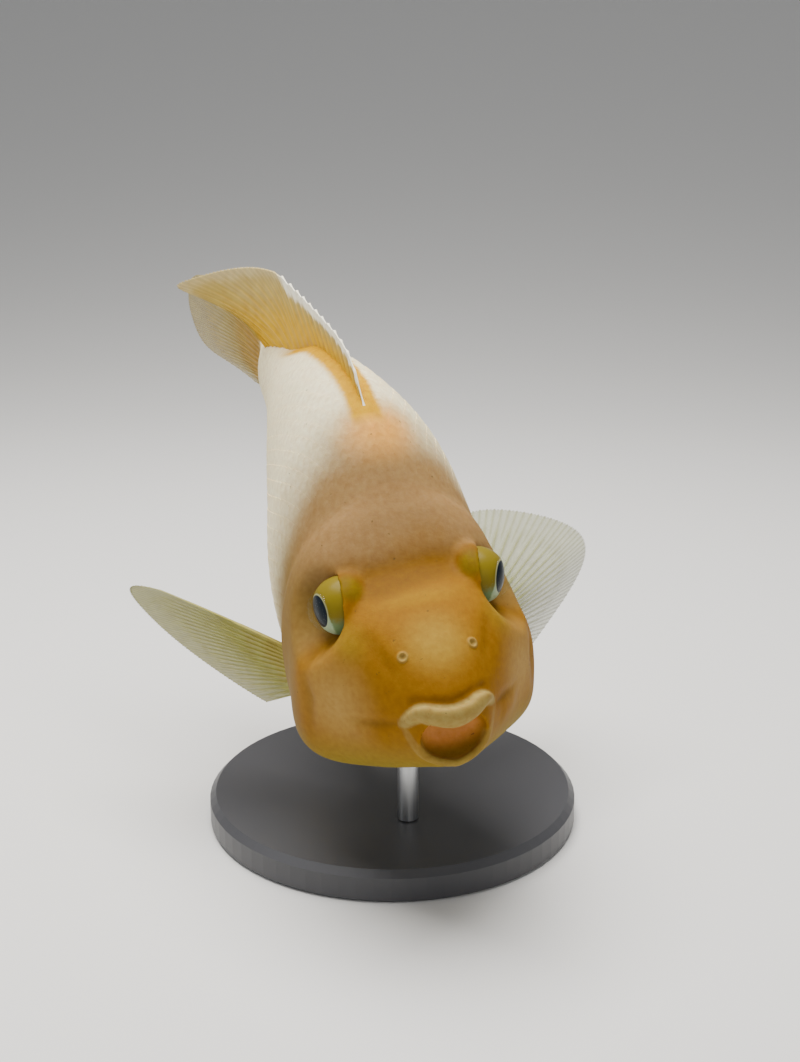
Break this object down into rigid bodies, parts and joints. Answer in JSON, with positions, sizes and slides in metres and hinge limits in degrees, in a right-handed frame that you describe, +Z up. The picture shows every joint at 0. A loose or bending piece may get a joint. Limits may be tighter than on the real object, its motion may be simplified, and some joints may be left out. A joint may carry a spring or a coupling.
{
  "type": "blood parrot cichlid",
  "caption": "Life-size still model of a blood parrot cichlid nosing down with its tail swept aside, held by two short rods over a round display base.",
  "frame": {"origin": "middle of the stand's underside", "axes": "+Z up, -Y to the front of the stand, which the fish faces about 15 degrees to the +X side of; the fish's right side is to -X"},
  "size_m": [0.125, 0.1617, 0.1388],
  "materials": {
    "skin": "moist scaled skin, amber face, cream shoulders",
    "fins": "thin rayed fins, yellow and partly clear",
    "eyes": "clear cornea over a dark pupil and a pale iris",
    "stand": "satin black paint",
    "rods": "brushed"
  },
  "bodies": {
    "root": {"head": "skin", "trunk": "skin", "tail_stalk": "skin", "eye_right": "eyes", "eye_left": "eyes", "dorsal_fin": "fins", "anal_fin": "fins", "tail_fin": "fins", "pectoral_fin_right": "fins", "pectoral_fin_left": "fins", "pelvic_fin_right": "fins", "pelvic_fin_left": "fins", "stand_base": "stand", "stand_rod_front": "rods", "stand_rod_rear": "rods"}
  },
  "joints": []
}
